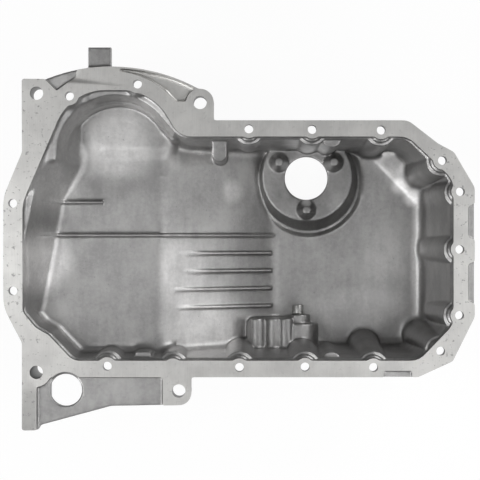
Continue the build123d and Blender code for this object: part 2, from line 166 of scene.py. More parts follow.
@dataclass(frozen=True)
class Grain:
    """A noise pattern of a finish, about 0.5 on average.

    Attributes:
        size: how large its grains are, in millimetres.
        detail: how many finer layers it has.
        roughness: how strong the finer layers are.
        stretch: the factor on the place along each axis: a small one draws the grains out.
        turn: how far the pattern is turned about the upright axis, in degrees.
    """

    size: float
    detail: float = 2.0
    roughness: float = 0.5
    stretch: tuple[float, float, float] | None = None
    turn: float = 0.0


class NodeSheet:
    """A material's or the world's node tree, to which nodes are added one after another."""

    def __init__(self, tree: bpy.types.NodeTree) -> None:
        """Empties the tree and keeps it."""
        tree.nodes.clear()
        self.tree = tree

    def node(self, kind: str, settings: dict[str, Any] | None = None,
             inputs: dict[str | int, Any] | None = None) -> bpy.types.Node:
        """Adds one node.

        Args:
            kind: the node's type.
            settings: its properties, which are set first.
            inputs: values or links of its sockets, by name or number.

        Returns:
            The node.
        """
        made = self.tree.nodes.new(kind)
        for name, value in (settings or {}).items():
            setattr(made, name, value)
        for name, value in (inputs or {}).items():
            if isinstance(value, Shade):
                value = value.socket
            if isinstance(value, bpy.types.NodeSocket):
                self.tree.links.new(value, made.inputs[name])
            else:
                made.inputs[name].default_value = value
        return made

    def value(self, kind: str, settings: dict[str, Any] | None = None,
              inputs: dict[str | int, Any] | None = None, output: str | int = 0) -> Shade:
        """Adds one node and gives one of its outputs.

        Args:
            kind: the node's type.
            settings: its properties.
            inputs: values or links of its sockets.
            output: the output's name or number.

        Returns:
            The output, for use in sums.
        """
        return Shade(self, self.node(kind, settings, inputs).outputs[output])

    def place(self) -> bpy.types.NodeSocket:
        """Gives the place on the piece, in metres."""
        return self.node("ShaderNodeTexCoord").outputs["Object"]

    def coordinate(self, axis: int) -> Shade:
        """Gives one coordinate of the place on the piece, in metres: 0 for X, 1 for Y."""
        return self.value("ShaderNodeSeparateXYZ", {}, {"Vector": self.place()}, axis)

    def grain(self, pattern: Grain) -> Shade:
        """Adds a noise pattern.

        Args:
            pattern: what it is like.

        Returns:
            The pattern's number at each place.
        """
        where = self.place()
        if pattern.stretch:
            where = self.node("ShaderNodeMapping", {}, {
                "Vector": where, "Scale": pattern.stretch,
                "Rotation": (0, 0, math.radians(pattern.turn))}).outputs["Vector"]
        return self.value("ShaderNodeTexNoise", {}, {
            "Vector": where, "Scale": 1 / (pattern.size * MM), "Detail": pattern.detail,
            "Roughness": pattern.roughness})

    def blend(self, amount: Shade, low: Colour | bpy.types.NodeSocket,
              high: Colour | bpy.types.NodeSocket, how: str = "MIX") -> bpy.types.NodeSocket:
        """Mixes two colours.

        Args:
            amount: how much of the second one, 0 to 1.
            low: the first colour.
            high: the second colour.
            how: the way they are mixed.

        Returns:
            The mixed colour.
        """
        pair = [(*c, 1.0) if isinstance(c, tuple) else c for c in (low, high)]
        settings = {"data_type": "RGBA", "blend_type": how, "clamp_factor": True}
        return self.node("ShaderNodeMix", settings, {0: amount, 6: pair[0], 7: pair[1]}).outputs[2]

    def bumps(self, *layers: tuple[Shade, float]) -> bpy.types.NodeSocket:
        """Stacks height patterns into one normal.

        Args:
            layers: each a pattern and its height in millimetres.

        Returns:
            The normal.
        """
        normal = None
        for height, depth in layers:
            inputs = {"Height": height, "Distance": depth * MM, "Strength": 1.0}
            if normal is not None:
                inputs["Normal"] = normal
            normal = self.node("ShaderNodeBump", {}, inputs).outputs["Normal"]
        return normal


# Finishes


def new_material(name: str) -> tuple[bpy.types.Material, NodeSheet]:
    """Makes an empty material.

    Args:
        name: the material's name.

    Returns:
        The material and its sheet of nodes.
    """
    material = bpy.data.materials.new(name)
    material.use_nodes = True
    return material, NodeSheet(material.node_tree)


def finish_metal(sheet: NodeSheet, colour: bpy.types.NodeSocket, roughness: Shade | float,
                 normal: bpy.types.NodeSocket) -> None:
    """Adds the surface shader of a bare metal and the output.

    Args:
        sheet: the material's nodes.
        colour: its base colour.
        roughness: its roughness.
        normal: its bumps.
    """
    shader = sheet.node("ShaderNodeBsdfPrincipled", {}, {
        "Base Color": colour, "Roughness": roughness, "Metallic": 1.0, "Normal": normal})
    sheet.node("ShaderNodeOutputMaterial", {}, {"Surface": shader.outputs["BSDF"]})


@dataclass(frozen=True)
class PaintedShading:
    """A patch of painted light and shade, seen from above: a factor above 1 lightens the colour as
    a painted highlight, one below 1 darkens it as painted shade.

    Attributes:
        middle: its middle, in millimetres along and across the engine.
        reach: how far it spreads along and across the engine.
        factor: what the colour is multiplied by at its middle.
        full_at: the share of its reach up to which it has its full strength.
        gone_at: the share of its reach at which it ends.
        unevenness: how far its edge wanders.
    """

    middle: tuple[float, float]
    reach: tuple[float, float]
    factor: float
    full_at: float = 0.35
    gone_at: float = 1.15
    unevenness: float = 0.8

    def over(self, sheet: NodeSheet, colour: bpy.types.NodeSocket,
             cloud: Shade) -> bpy.types.NodeSocket:
        """Lays the stain over a colour.

        Args:
            sheet: the material's nodes.
            colour: the colour without it.
            cloud: the pattern that makes its edge uneven, about 0.5 on average.

        Returns:
            The colour with the painted light and shade.
        """
        along, across = [(sheet.coordinate(axis) - self.middle[axis] * MM) / (self.reach[axis] * MM)
                         for axis in (0, 1)]
        far = (along * along + across * across) ** 0.5
        amount = (far + self.unevenness * (cloud - 0.5)).above(self.gone_at, self.full_at)
        return sheet.blend(amount, colour, (self.factor,) * 3, "MULTIPLY")


@dataclass(frozen=True)
class CastSkin:
    """The skin of the casting: grey, softly mottled, with the fine grain of the die.

    Attributes:
        name: the material's name.
        dark: the colour of its dark clouds.
        light: the colour of its light clouds.
        painted_shading: the patches of painted light and shade, where its colour is made lighter
            for highlights and darker for shade.
        smooth: its least roughness.
        dull: its greatest roughness.
        cloud: its large clouds.
        fleck: its small flecks.
        flow: the marks of the metal's flow.
        cloud_share: how much the clouds count in its tone.
        fleck_share: how much the flecks count.
        flow_share: how much the flow marks count.
        tone_range: the mixed patterns' values at its dark and its light colour.
        pit: its small dark pits.
        pit_range: the pattern's values at a pit's edge and in the pit.
        pit_share: how much of the pits' colour shows.
        pit_colour: the colour in a pit.
        sheen: where it is smooth and where it is dull.
        wave: its low waves.
        wave_height: the waves' height in millimetres.
        die_grain: the fine grain of the die.
        die_grain_height: the grain's height in millimetres.
    """

    name: str
    dark: Colour
    light: Colour
    painted_shading: tuple[PaintedShading, ...] = ()
    smooth: float = 0.38
    dull: float = 0.56
    cloud: Grain = Grain(42, 5, 0.62)
    fleck: Grain = Grain(3.2, 4, 0.65)
    flow: Grain = Grain(9, 3, 0.6, (1.0, 0.22, 0.3), 4)
    cloud_share: float = 0.5
    fleck_share: float = 0.25
    flow_share: float = 0.25
    tone_range: Range = (0.36, 0.64)
    pit: Grain = Grain(2.1)
    pit_range: Range = (0.70, 0.76)
    pit_share: float = 0.45
    pit_colour: Colour = (0.16, 0.16, 0.16)
    sheen: Grain = Grain(15, 4, 0.6)
    wave: Grain = Grain(16, 3)
    wave_height: float = 0.32
    die_grain: Grain = Grain(1.3, 3, 0.55)
    die_grain_height: float = 0.045

    def make(self) -> bpy.types.Material:
        """Makes the material."""
        material, sheet = new_material(self.name)
        cloud = sheet.grain(self.cloud)
        tone = (self.cloud_share * cloud + self.fleck_share * sheet.grain(self.fleck)
                + self.flow_share * sheet.grain(self.flow))
        colour = sheet.blend(tone.above(*self.tone_range), self.dark, self.light)
        # painted light and shade: patches with a factor above 1 are painted highlights, those below
        # 1 painted shade
        for patch in self.painted_shading:
            colour = patch.over(sheet, colour, cloud)
        pits = sheet.grain(self.pit).above(*self.pit_range)
        colour = sheet.blend(self.pit_share * pits, colour, self.pit_colour)
        roughness = self.smooth + (self.dull - self.smooth) * sheet.grain(self.sheen)
        normal = sheet.bumps((sheet.grain(self.wave), self.wave_height),
                             (sheet.grain(self.die_grain), self.die_grain_height))
        finish_metal(sheet, colour, roughness.clamped(), normal)
        return material


@dataclass(frozen=True)
class MachinedFace:
    """The milled gasket face: paler and flatter than the casting, with cutter marks and nicks.

    Attributes:
        pale: its colour where it is clean.
        worn: its colour where it is worn.
        smooth: its least roughness.
        dull: its greatest roughness.
        painted_shading: the patches of painted light and shade, where its colour is made lighter
            for highlights and darker for shade.
        cloud: where it is clean and where it is worn.
        streak: the cutter's marks.
        cloud_share: how much the clouds count in its tone.
        streak_share: how much the cutter's marks count.
        tone_range: the mixed patterns' values at its worn and its pale colour.
        nick: its small nicks.
        nick_range: the pattern's values at a nick's edge and in the nick.
        ends_at: how far from the pan's middle the two ends with most nicks are, in metres.
        ends_range: the squared share of that distance at which the ends begin and are reached.
        middle_share: how much of a nick shows between the ends.
        handled: where it was handled, and so scratched.
        handled_range: the pattern's values at such a place's edge and in it.
        scratch: its long thin scratches.
        scratch_range: the pattern's values at a scratch's edge and in the scratch.
        scratch_share: how strong a scratch is next to a nick.
        mark_share: how much of the marks' colour shows.
        mark_colour: the colour in nicks and scratches.
        streak_height: the height of the cutter's marks, in millimetres.
        mark_height: the height of nicks and scratches, which go inwards.
    """

    pale: Colour = (0.60, 0.595, 0.58)
    worn: Colour = (0.505, 0.50, 0.49)
    smooth: float = 0.40
    dull: float = 0.52
    # painted light and shade: the face is lighter at its left and right ends and darker along its
    # front edge and at its front left corner, as the lamps fall on it
    painted_shading: tuple[PaintedShading, ...] = (
        PaintedShading((-210, -10), (34, 90), 1.12),
        PaintedShading((208, -10), (30, 90), 1.08),
        PaintedShading((40, -120), (110, 14), 0.94),
        PaintedShading((-191, -155), (14, 30), 0.70),
    )
    cloud: Grain = Grain(30, 4, 0.6)
    streak: Grain = Grain(1.0, 2, 0.5, (1.0, 0.06, 1.0), 12)
    cloud_share: float = 0.75
    streak_share: float = 0.25
    tone_range: Range = (0.35, 0.65)
    nick: Grain = Grain(4.2, 4, 0.65)
    nick_range: Range = (0.60, 0.64)
    ends_at: float = 170 * MM
    ends_range: Range = (0.7, 1.2)
    middle_share: float = 0.25
    handled: Grain = Grain(60)
    handled_range: Range = (0.42, 0.60)
    scratch: Grain = Grain(1.1, 1, 0.4, (0.25, 1.0, 1.0), 35)
    scratch_range: Range = (0.72, 0.76)
    scratch_share: float = 0.7
    mark_share: float = 0.6
    mark_colour: Colour = (0.20, 0.20, 0.20)
    streak_height: float = 0.012
    mark_height: float = -0.06

    def marks(self, sheet: NodeSheet) -> Shade:
        """Gives the nicks and scratches.

        Args:
            sheet: the material's nodes.

        Returns:
            How deep in a mark each place is, 0 to 1.
        """
        along = sheet.coordinate(0)
        ends = (along * along / self.ends_at ** 2).above(*self.ends_range)
        nicks = sheet.grain(self.nick).above(*self.nick_range)
        nicks = nicks * (self.middle_share + (1 - self.middle_share) * ends)
        handled = sheet.grain(self.handled).above(*self.handled_range)
        scratches = sheet.grain(self.scratch).above(*self.scratch_range)
        return (nicks + self.scratch_share * scratches * handled).clamped()

    def make(self) -> bpy.types.Material:
        """Makes the material."""
        material, sheet = new_material("machined_face")
        cloud, streak = sheet.grain(self.cloud), sheet.grain(self.streak)
        tone = (self.cloud_share * cloud + self.streak_share * streak).above(*self.tone_range)
        colour = sheet.blend(tone, self.worn, self.pale)
        # painted light and shade: patches with a factor above 1 are painted light, those below 1
        # painted shade
        for patch in self.painted_shading:
            colour = patch.over(sheet, colour, cloud)
        marks = self.marks(sheet)
        colour = sheet.blend(self.mark_share * marks, colour, self.mark_colour)
        normal = sheet.bumps((streak, self.streak_height), (marks, self.mark_height))
        finish_metal(sheet, colour, self.smooth + (self.dull - self.smooth) * streak, normal)
        return material


@dataclass(frozen=True)
class BoredMetal:
    """The walls of the drilled holes, with fine rings from the drill, coloured far darker than
    milled metal as painted shade inside the holes.

    Attributes:
        light: the colour between the rings.
        dark: the colour in the rings.
        roughness: its roughness.
        rings: the drill's rings.
        tone_range: the pattern's values at its dark and its light colour.
        ring_height: the rings' height in millimetres.
    """

    # painted shade: both colours are far darker than the milled face's
    light: Colour = (0.17, 0.17, 0.165)
    dark: Colour = (0.119, 0.119, 0.1155)
    roughness: float = 0.45
    rings: Grain = Grain(0.8, 2, 0.5, (0.1, 0.1, 1.0))
    tone_range: Range = (0.35, 0.65)
    ring_height: float = 0.02

    def make(self) -> bpy.types.Material:
        """Makes the material."""
        material, sheet = new_material("bored_metal_painted_shade")
        rings = sheet.grain(self.rings)
        colour = sheet.blend(rings.above(*self.tone_range), self.dark, self.light)
        finish_metal(sheet, colour, self.roughness, sheet.bumps((rings, self.ring_height)))
        return material


@dataclass(frozen=True)
class TurnedMetal:
    """The metal of a small turned part: two tones in soft clouds, with a fine grit.

    Attributes:
        name: the material's name.
        dim: the colour of its dark clouds.
        bright: the colour of its light clouds.
        cloud: its clouds.
        tone_range: the clouds' values at its dim and its bright colour.
        smooth: its least roughness.
        dull: its greatest roughness.
        grit: its fine grit.
        grit_height: the grit's height in millimetres.
    """

    name: str
    dim: Colour
    bright: Colour
    cloud: Grain
    tone_range: Range
    smooth: float
    dull: float
    grit: Grain
    grit_height: float = 0.01

    def make(self) -> bpy.types.Material:
        """Makes the material."""
        material, sheet = new_material(self.name)
        cloud = sheet.grain(self.cloud)
        colour = sheet.blend(cloud.above(*self.tone_range), self.dim, self.bright)
        roughness = self.smooth + (self.dull - self.smooth) * cloud
        finish_metal(sheet, colour, roughness,
                     sheet.bumps((sheet.grain(self.grit), self.grit_height)))
        return material


ZINC_PLATE = TurnedMetal("zinc_plate", (0.38, 0.38, 0.37), (0.52, 0.52, 0.51), Grain(4, 3, 0.55),
                         (0.40, 0.62), smooth=0.34, dull=0.50, grit=Grain(0.5))
SOFT_COPPER = TurnedMetal("soft_copper", (0.48, 0.25, 0.17), (0.80, 0.43, 0.28), Grain(3, 4, 0.6),
                          (0.42, 0.60), smooth=0.26, dull=0.46, grit=Grain(0.4))


# Mesh work


def select_only(*pieces: bpy.types.Object) -> None:
    """Selects these objects and no other, and makes the first one active."""
    bpy.ops.object.select_all(action="DESELECT")
    for piece in pieces:
        piece.select_set(True)
    bpy.context.view_layer.objects.active = pieces[0]


@contextmanager
def editing(piece: bpy.types.Object) -> Iterator[bmesh.types.BMesh]:
    """Opens a piece in edit mode with nothing selected, gives its mesh, and closes it again."""
    select_only(piece)
    bpy.ops.object.mode_set(mode="EDIT")
    bpy.ops.mesh.select_all(action="DESELECT")
    yield bmesh.from_edit_mesh(piece.data)
    bpy.ops.object.mode_set(mode="OBJECT")


class MeshPart(Enum):
    """What of a mesh is selected."""

    POINTS = "VERT"
    FACES = "FACE"


def select_parts(piece: bpy.types.Object, kind: MeshPart, test: Callable[[Any], bool]) -> None:
    """Selects the points or faces that pass a test, in edit mode.

    Args:
        piece: the piece in edit mode.
        kind: whether points or faces are selected.
        test: says whether one of them is wanted.
    """
    bpy.ops.mesh.select_mode(type=kind.value)
    mesh = bmesh.from_edit_mesh(piece.data)
    parts = mesh.verts if kind is MeshPart.POINTS else mesh.faces
    for part in [part for part in parts if test(part)]:
        part.select_set(True)
    bmesh.update_edit_mesh(piece.data)


def apply_modifier(piece: bpy.types.Object, kind: str, **settings: Any) -> None:
    """Adds a modifier and applies it.

    Args:
        piece: the piece it works on.
        kind: the modifier's type.
        settings: its properties.
    """
    select_only(piece)
    modifier = piece.modifiers.new(kind.lower(), kind)
    for name, value in settings.items():
        setattr(modifier, name, value)
    bpy.ops.object.modifier_apply(modifier=modifier.name)


def rod(start: Vector, end: Vector, radius: float, sides: int) -> bpy.types.Object:
    """Makes a closed cylinder between two points, with its place in its mesh.

    Args:
        start: the middle of one end.
        end: the middle of the other end.
        radius: its radius.
        sides: how many sides it has.

    Returns:
        The cylinder.
    """
    bpy.ops.object.select_all(action="DESELECT")
    run = end - start
    bpy.ops.mesh.primitive_cylinder_add(
        vertices=sides, radius=radius, depth=run.length, location=(start + end) / 2,
        rotation=run.to_track_quat("Z", "Y").to_euler())
    bpy.ops.object.transform_apply(location=True, rotation=True, scale=True)
    return bpy.context.object


def joined(pieces: list[bpy.types.Object], name: str) -> bpy.types.Object:
    """Joins pieces into the first one.

    Args:
        pieces: what is joined.
        name: the name of the result.

    Returns:
        The joined piece.
    """
    select_only(*pieces)
    bpy.ops.object.join()
    pieces[0].name = name
    return pieces[0]


class Slot(Enum):
    """The record's material slots of the new pieces."""

    CASTING = "cast_aluminium"
    PLUG = "plated_steel"


# The casting


@dataclass(frozen=True)
class Hole:
    """One round hole of the casting.

    Attributes:
        middle: its middle, in metres.
        axis: its direction.
        radius: its radius.
        length: its length.
    """

    middle: Vector
    axis: Vector
    radius: float
    length: float

    def as_rod(self, spare: float, sides: int) -> bpy.types.Object:
        """Makes a cylinder on the hole's axis.

        Args:
            spare: what is added to its length at each end.
            sides: how many sides it has.

        Returns:
            The cylinder.
        """
        half = self.axis.normalized() * (self.length / 2 + spare)
        return rod(self.middle - half, self.middle + half, self.radius, sides)


@dataclass(frozen=True)
class SoftZone:
    """A box of the casting in which every edge is much rounder than elsewhere.

    Attributes:
        low: its lowest corner, in millimetres.
        high: its highest corner.
        rounds: how often it is smoothed.
    """

    low: tuple[float, float, float]
    high: tuple[float, float, float]
    rounds: int

    def points(self, piece: bpy.types.Object) -> list[int]:
        """Gives the numbers of a piece's points that are in the box."""
        places = np.empty(3 * len(piece.data.vertices), dtype=np.float32)
        piece.data.vertices.foreach_get("co", places)
        places = places.reshape(-1, 3) / MM
        held = np.all((places > self.low) & (places < self.high), axis=1)
        return np.flatnonzero(held).tolist()


class Skin(Enum):
    """The casting's materials, by their slot number on the piece."""

    OUTSIDE = 0
    FACE = 1
    BORED = 2
    # the inside's material: darker than the outside's, as painted shade
    INSIDE = 3


@dataclass
class Casting:
    """The pan itself, as one casting with a milled gasket face.

    Attributes:
        mounts: the record's mounts, by name.
        node: the CAD node that it stands for.
        weld: how near to each other two points of the CAD mesh are to be the same.
        rim_reach: how near to the gasket plane the CAD mesh's rim is.
        rim_spare: how far the rim is raised before its edges are rounded, so that it can be faced.
        skin_voxel: the grid on which the edges are rounded.
        soften_factor: how far one smoothing moves a point towards its neighbours' middle.
        soften_rounds: how often the skin is smoothed.
        triangles: how many triangles it may have before it is drilled.
        flat_reach: how near to the gasket plane a point is pulled into it.
        drill_spare: how far the drills stand out of the holes at each end.
        hole_sides: how many sides a drilled hole has.
        face_reach: how near to the gasket plane a face's middle is to be milled.
        upright: how far up the normal of a flat rim face points, of 1.
        level: how far up the normal of a milled face points, of 1.
        crease_angle: the least angle of an edge that stays sharp, in degrees.
        floor_seed: a place on the oil side's floor.
        soft_zones: where the edges are much rounder.
        finishes: its finishes, in the order of the slot numbers.
    """

    mounts: dict[str, dict[str, Any]]
    node: str = "pan_casting"
    weld: float = 0.001 * MM
    rim_reach: float = 0.01 * MM
    rim_spare: float = 6 * MM
    skin_voxel: float = 0.9 * MM
    soften_factor: float = 0.5
    soften_rounds: int = 6
    triangles: int = 186000
    flat_reach: float = 0.15 * MM
    drill_spare: float = 1.0 * MM
    hole_sides: int = 48
    face_reach: float = 0.05 * MM
    upright: float = 0.999
    level: float = 0.99
    crease_angle: float = 40.0
    floor_seed: Vector = field(default_factory=lambda: Vector((120.0, -30.0, -120.0)) * MM)
    soft_zones: tuple[SoftZone, ...] = (
        SoftZone((-200, -60, -62), (-150, 0, -1.2), 60),
        SoftZone((-200, 9, -62), (-150, 31, -1.2), 60),
        SoftZone((-200, 40, -62), (-150, 62, -1.2), 60),
        SoftZone((-192, 44, -62), (-128, 92, -1.2), 160),
        SoftZone((-172, 84, -44), (-134, 134, -1.2), 130),
        SoftZone((-134, 84, -44), (-64, 137, -1.2), 16),
        SoftZone((-100, -110, -72), (-60, -2, -40), 260),
        SoftZone((-100, 10, -72), (-60, 60, -40), 260),
        SoftZone((4, -108, -122), (52, -70, -84), 34),
        SoftZone((-150, 60, -60), (-60, 84, -40), 90),
        SoftZone((-75, 60, -66), (-26, 112, -24), 30),
        SoftZone((118, 14, -130), (192, 84, -72), 110),
        SoftZone((150, -92, -130), (192, 40, -96), 90),
        SoftZone((88, -112, -130), (180, -70, -100), 40),
    )
    finishes: tuple[CastSkin | MachinedFace | BoredMetal, ...] = (
        # the outside's skin: its two patches are painted light, lightening the lobe's outer rim
        CastSkin("cast_skin", (0.45, 0.447, 0.435), (0.55, 0.545, 0.53), painted_shading=(
            PaintedShading((-170, 147), (30, 14), 1.3),
            PaintedShading((-70, 140), (56, 22), 1.1),
        )),
        MachinedFace(),
        BoredMetal(),
        # painted shade: the inside's skin is darker than the outside's to stand for the shade deep
        # in the pan
        CastSkin("oil_side_painted_shade", (0.30, 0.297, 0.296), (0.42, 0.416, 0.412), painted_shading=(
            # painted light and shade: patches that lighten the colour for glints on fillets,
            # creases and slopes, and darken it for shaded walls and floor
            PaintedShading((-113, 88), (38, 38), 1.6),
            PaintedShading((-33, -80), (42, 42), 1.75),
            PaintedShading((-55, -28), (26, 40), 1.55),
            PaintedShading((-24, -28), (20, 34), 1.18),
            PaintedShading((-186, -20), (34, 34), 2.0),
            PaintedShading((-178, 50), (30, 30), 1.6),
            PaintedShading((-118, 50), (34, 14), 0.82),
            PaintedShading((-42, 32), (26, 26), 0.9),
            PaintedShading((64, 60), (58, 58), 0.76),
            PaintedShading((98, 58), (12, 22), 0.8),
            PaintedShading((150, -30), (40, 60), 1.3),
            PaintedShading((115, -68), (60, 24), 1.3),
            PaintedShading((20, 30), (40, 40), 0.85),
            # painted shade at the top of the back right corner's facet
            PaintedShading((149, 75), (11, 10), 0.55),
            # painted highlights along the foot of the back right corner's facet
            PaintedShading((156, 52), (9, 9), 1.8),
            PaintedShading((167, 41), (9, 9), 1.8),
            # painted highlight: the bright strip at the foot of the right wall
            PaintedShading((172, -20), (6, 70), 1.45),
            # painted highlight: the small bright triangle behind the gallery
            PaintedShading((-7, 46), (12, 14), 1.5),
            # painted highlight: the white patch at the right end of the lobe's shelf
            PaintedShading((-61, 76), (8, 14), 1.4),
            # painted highlight: the streak below the lug
            PaintedShading((-38, 79), (18, 8), 1.4),
        )),
    )

    def hole(self, name: str) -> Hole:
        """Reads a bore mount.

        Args:
            name: the mount's name.

        Returns:
            The hole.
        """
        mount = self.mounts[name]
        return Hole(Vector(mount["pos_m"]), Vector(mount["axis"]), mount["dims"]["r_mm"] * MM,
                    mount["dims"]["length_mm"] * MM)

    def raised_copy(self) -> bpy.types.Object:
        """Copies the CAD mesh, closes its seams and raises its gasket face."""
        select_only(frame["nodes"][self.node])
        bpy.ops.object.duplicate()
        piece = bpy.context.object
        piece.name = "oil_pan_casting"
        with editing(piece):
            bpy.ops.mesh.select_all(action="SELECT")
            bpy.ops.mesh.remove_doubles(threshold=self.weld)
            bpy.ops.mesh.select_all(action="DESELECT")
            select_parts(piece, MeshPart.FACES, lambda face: face.normal.z > self.upright and
                         all(abs(vert.co.z) < self.rim_reach for vert in face.verts))
            bpy.ops.mesh.extrude_region_move(
                TRANSFORM_OT_translate={"value": (0, 0, self.rim_spare)})
        return piece

    def give_finishes(self, piece: bpy.types.Object) -> None:
        """Adds the casting's materials, in the order of their slot numbers."""
        piece.data.materials.clear()
        for finish in self.finishes:
            piece.data.materials.append(finish.make())

    def round_edges(self, piece: bpy.types.Object) -> None:
        """Gives every edge the soft round of a casting, and the soft zones' edges a larger one."""
        apply_modifier(piece, "REMESH", mode="VOXEL", voxel_size=self.skin_voxel, adaptivity=0)
        apply_modifier(piece, "SMOOTH", factor=self.soften_factor, iterations=self.soften_rounds)
        for zone in self.soft_zones:
            group = piece.vertex_groups.new(name="soft_zone")
            group.add(zone.points(piece), 1.0, "REPLACE")
            apply_modifier(piece, "SMOOTH", factor=self.soften_factor, iterations=zone.rounds,
                           vertex_group=group.name)
            bpy.ops.object.vertex_group_remove(all=True)

    def face_rim(self, piece: bpy.types.Object) -> None:
        """Cuts the raised rim off flat at the gasket plane."""
        with editing(piece):
            bpy.ops.mesh.select_all(action="SELECT")
            bpy.ops.mesh.bisect(plane_co=(0, 0, 0), plane_no=(0, 0, 1), use_fill=True,
                                clear_outer=True, clear_inner=False)

    def thin_out(self, piece: bpy.types.Object) -> None:
        """Thins the mesh out where it is flat, and pulls the rim back into the gasket plane."""
        triangles = sum(len(face.vertices) - 2 for face in piece.data.polygons)
        apply_modifier(piece, "DECIMATE", ratio=self.triangles / triangles,
                       use_collapse_triangulate=True)
        with editing(piece):
            select_parts(piece, MeshPart.POINTS, lambda vert: abs(vert.co.z) < self.flat_reach)
            bpy.ops.transform.resize(value=(1, 1, 0), center_override=(0, 0, 0))

    def drill(self, piece: bpy.types.Object) -> None:
        """Drills the casting's holes to their true size."""
        holes = [self.hole(name) for name, mount in self.mounts.items() if mount["kind"] == "bore"]
        drills = joined(
            [hole.as_rod(self.drill_spare, self.hole_sides) for hole in holes], "drills")
        drills.data.materials.clear()
        drills.data.materials.append(piece.data.materials[Skin.BORED.value])
        apply_modifier(piece, "BOOLEAN", operation="DIFFERENCE", solver="EXACT", object=drills,
                       material_mode="TRANSFER")
        select_only(drills)
        bpy.ops.object.delete()

    def paint(self, piece: bpy.types.Object, skin: Skin) -> None:
        """Gives the selected faces a skin, in edit mode."""
        piece.active_material_index = skin.value
        bpy.ops.object.material_slot_assign()

    def dress(self, piece: bpy.types.Object) -> None:
        """Gives the milled face its skin, and the oil side inside that face its own darker skin, as
        painted shade.
        """
        with editing(piece):
            select_parts(piece, MeshPart.FACES, lambda face: face.normal.z > self.level and
                         face.calc_center_median().z > -self.face_reach)
            self.paint(piece, Skin.FACE)
        with editing(piece) as mesh:
            nearest = min(mesh.faces,
                          key=lambda face: (face.calc_center_median() - self.floor_seed).length)
            nearest.select_set(True)
            bpy.ops.mesh.select_linked(delimit={"MATERIAL"})
            self.paint(piece, Skin.INSIDE)
        select_only(piece)
        bpy.ops.object.shade_smooth_by_angle(angle=math.radians(self.crease_angle))

    def build(self) -> bpy.types.Object:
        """Builds and dresses the casting.

        Returns:
            The finished piece.
        """
        piece = self.raised_copy()
        self.give_finishes(piece)
        self.round_edges(piece)
        self.face_rim(piece)
        self.thin_out(piece)
        self.drill(piece)
        self.dress(piece)
        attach(piece, "root")
        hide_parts(self.node)
        return piece


# The drain plug


